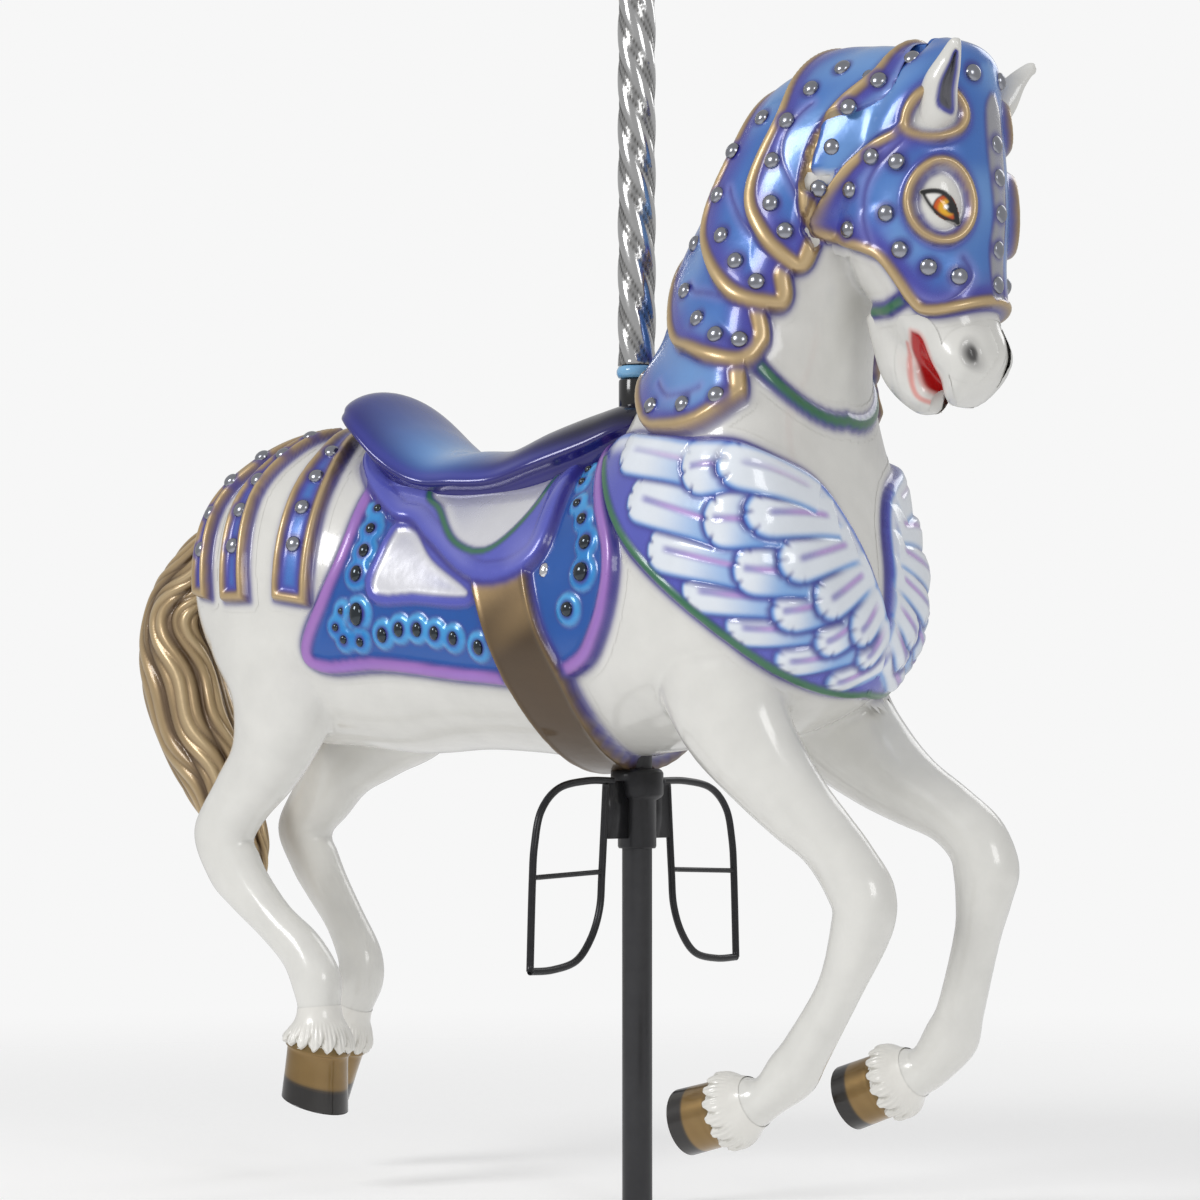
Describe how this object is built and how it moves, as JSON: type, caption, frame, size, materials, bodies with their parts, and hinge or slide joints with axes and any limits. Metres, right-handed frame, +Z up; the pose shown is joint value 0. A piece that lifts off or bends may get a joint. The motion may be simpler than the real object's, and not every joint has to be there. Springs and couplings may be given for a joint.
{
  "type": "carousel horse",
  "caption": "Jumping carousel horse in carved armour with wing-shaped breast plate, saddle and blanket, on a steel pole with a twisted sleeve and stirrup-like footrests.",
  "frame": {"origin": "centre of the pole's lower end", "axes": "+X the way the horse faces, +Y the horse's left side, +Z up along the pole"},
  "size_m": [1.5228, 0.509, 1.87],
  "materials": {
    "horse_paint": "warm white gloss paint, with coloured armour, saddle cloth and wings, bronze hooves and tail",
    "pole_steel": "satin dark grey",
    "bush": "gloss black",
    "ring": "gloss light blue",
    "polished_sleeve": "bright polished metal",
    "polished_cap": "bright polished metal",
    "footrest_steel": "semi-gloss near-black"
  },
  "bodies": {
    "root": {"horse": "horse_paint", "pole": "pole_steel", "pole_bush": "bush", "pole_ring": "ring", "twisted_sleeve": "polished_sleeve", "sleeve_cap": "polished_cap", "footrest": "footrest_steel"}
  },
  "joints": []
}
